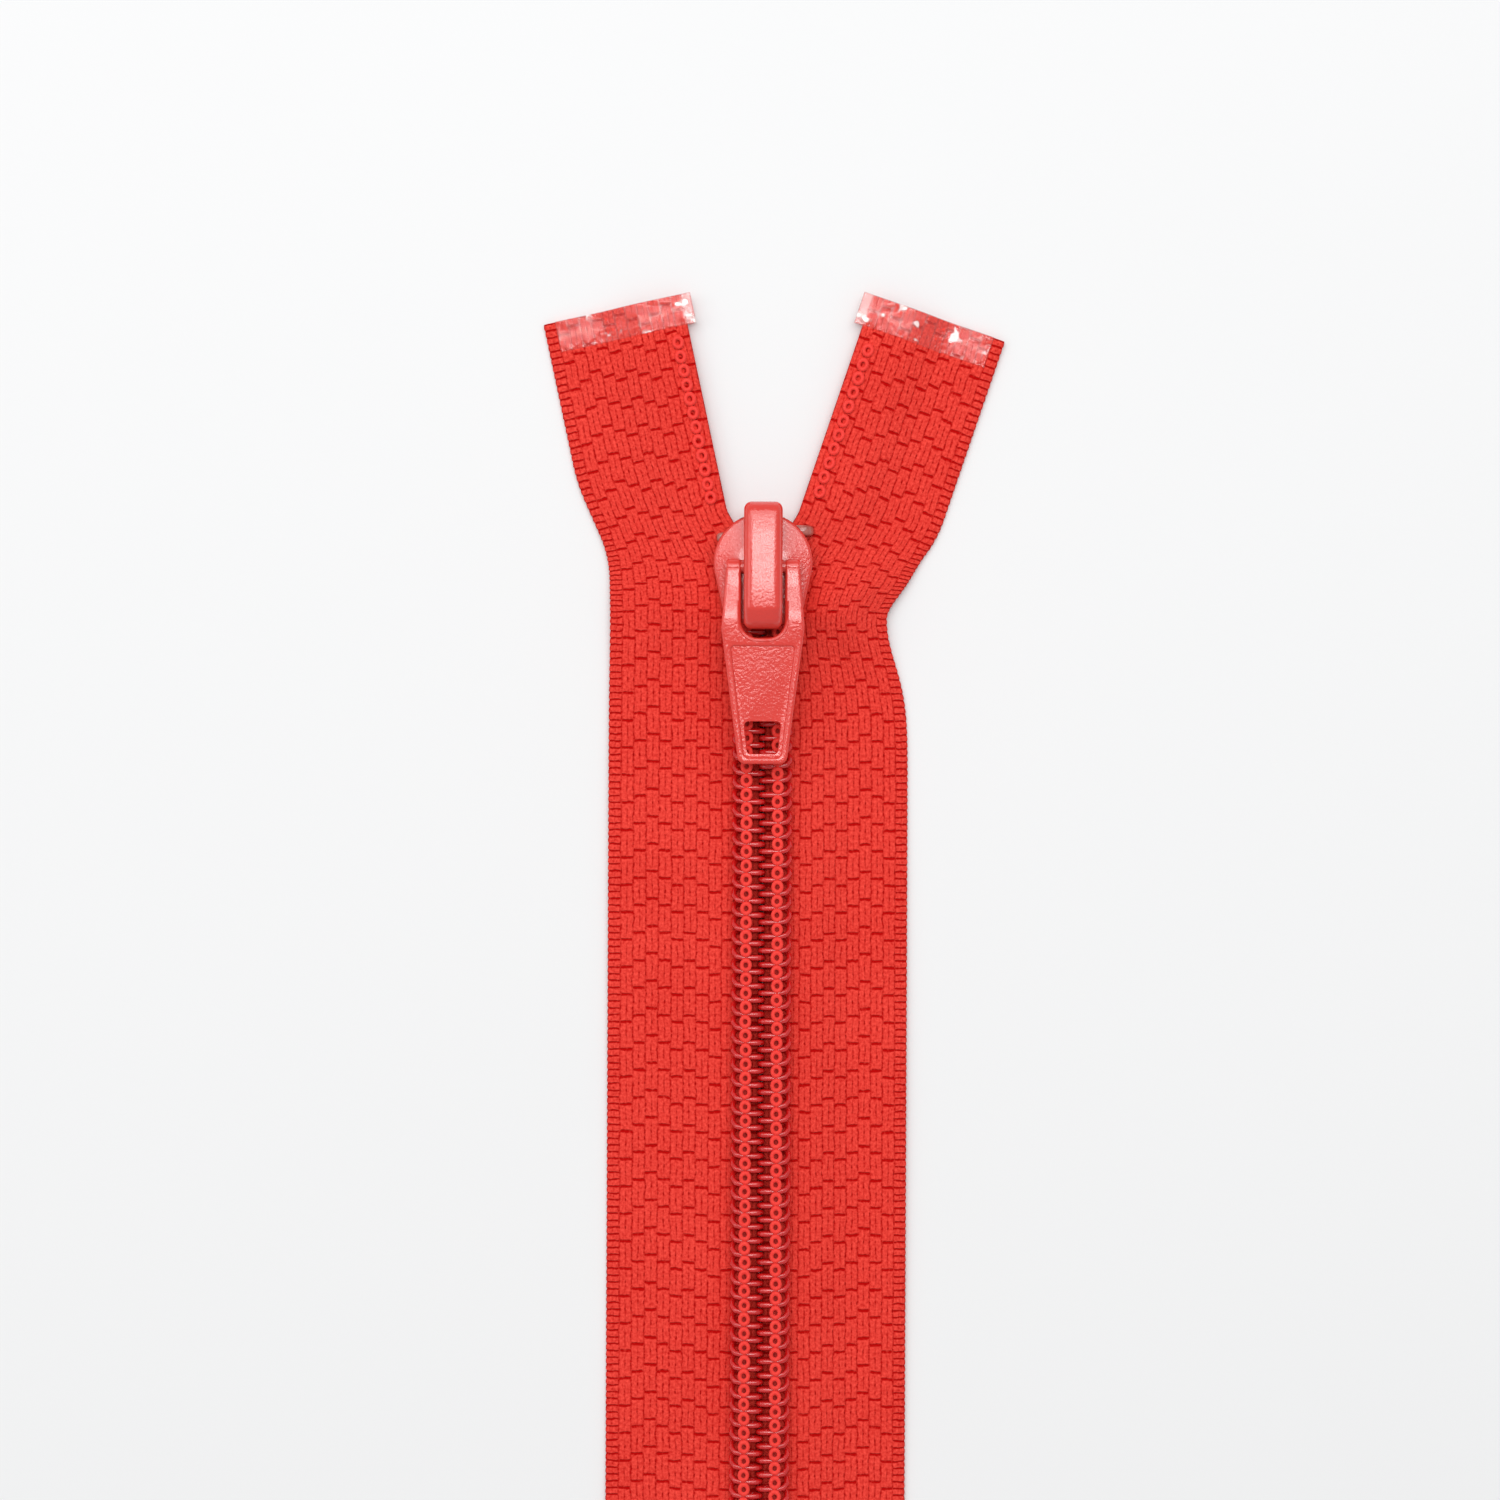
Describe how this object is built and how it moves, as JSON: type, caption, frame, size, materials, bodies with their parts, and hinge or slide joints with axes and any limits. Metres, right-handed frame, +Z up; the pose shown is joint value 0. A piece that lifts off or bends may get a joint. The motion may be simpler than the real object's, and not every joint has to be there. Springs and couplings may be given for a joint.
{
  "type": "open-end zipper",
  "caption": "Open-end coil zipper: two woven tapes with filament coils, an auto-lock slider with a cap and tapered pull, film-bound tape ends, and a pin and box at the foot.",
  "frame": {"origin": "on the table, on the chain's centre line, at the retainer box's bottom end", "axes": "+Y along the chain towards the top ends, +X to the right seen from the front, +Z up out of the face that the slider is on"},
  "size_m": [0.0489, 0.2053, 0.0089],
  "materials": {
    "tape": "woven",
    "film": "clear gloss",
    "coil": "translucent gloss",
    "cord": "spun",
    "thread": "spun",
    "stop": "translucent gloss",
    "moulding": "gloss",
    "paint": "gloss paint",
    "spring": "bright"
  },
  "bodies": {
    "bottom_end": {"retainer_box": "moulding", "retainer_pin": "moulding", "insertion_pin": "moulding", "tape_end_left": "tape", "tape_end_right": "tape", "bottom_film_left_front": "film", "bottom_film_left_back": "film", "bottom_film_right_front": "film", "bottom_film_right_back": "film"},
    "left_half": {"tape_left": "tape", "coil_left": "coil", "core_cord_left": "cord", "needle_thread_left": "thread", "looper_thread_left": "thread", "top_stop_left": "stop", "top_film_left_front": "film", "top_film_left_back": "film"},
    "right_half": {"tape_right": "tape", "coil_right": "coil", "core_cord_right": "cord", "needle_thread_right": "thread", "looper_thread_right": "thread", "top_stop_right": "stop", "top_film_right_front": "film", "top_film_right_back": "film"},
    "slider": {"slider_body": "paint", "slider_cap": "paint"},
    "lock": {"lock_spring": "spring"},
    "pull": {"pull_tab": "paint"}
  },
  "joints": [
    {"name": "slider_slide", "type": "slide", "parent": "bottom_end", "child": "slider", "axis": [0, -1, 0], "range_m": [0, 0.1627], "deforming": ["tape_left", "coil_left", "core_cord_left", "needle_thread_left", "looper_thread_left", "tape_right", "coil_right", "core_cord_right", "needle_thread_right", "looper_thread_right"]},
    {"name": "left_swing", "type": "hinge", "parent": "bottom_end", "child": "left_half", "pos_m": [-0.00082, 0.01172, 0.002], "axis": [0, 0, 1], "range_deg": [0, 4.5]},
    {"name": "right_swing", "type": "hinge", "parent": "bottom_end", "child": "right_half", "pos_m": [0.00082, 0.01172, 0.002], "axis": [0, 0, -1], "range_deg": [0, 4.5]},
    {"name": "pull_hinge", "type": "hinge", "parent": "slider", "child": "pull", "pos_m": [0, 0.1759, 0.0059], "axis": [-1, 0, 0], "range_deg": [0, 170]},
    {"name": "lock_lift", "type": "slide", "parent": "slider", "child": "lock", "axis": [0, 0, 1], "range_m": [0, 0.0006]}
  ],
  "couplings": [
    {"joint": "left_swing", "follows": "slider_slide", "rad_per_m": 0.48},
    {"joint": "right_swing", "follows": "slider_slide", "rad_per_m": 0.48},
    {"joint": "lock_lift", "follows": "pull_hinge", "m_per_rad": 0.0002}
  ]
}
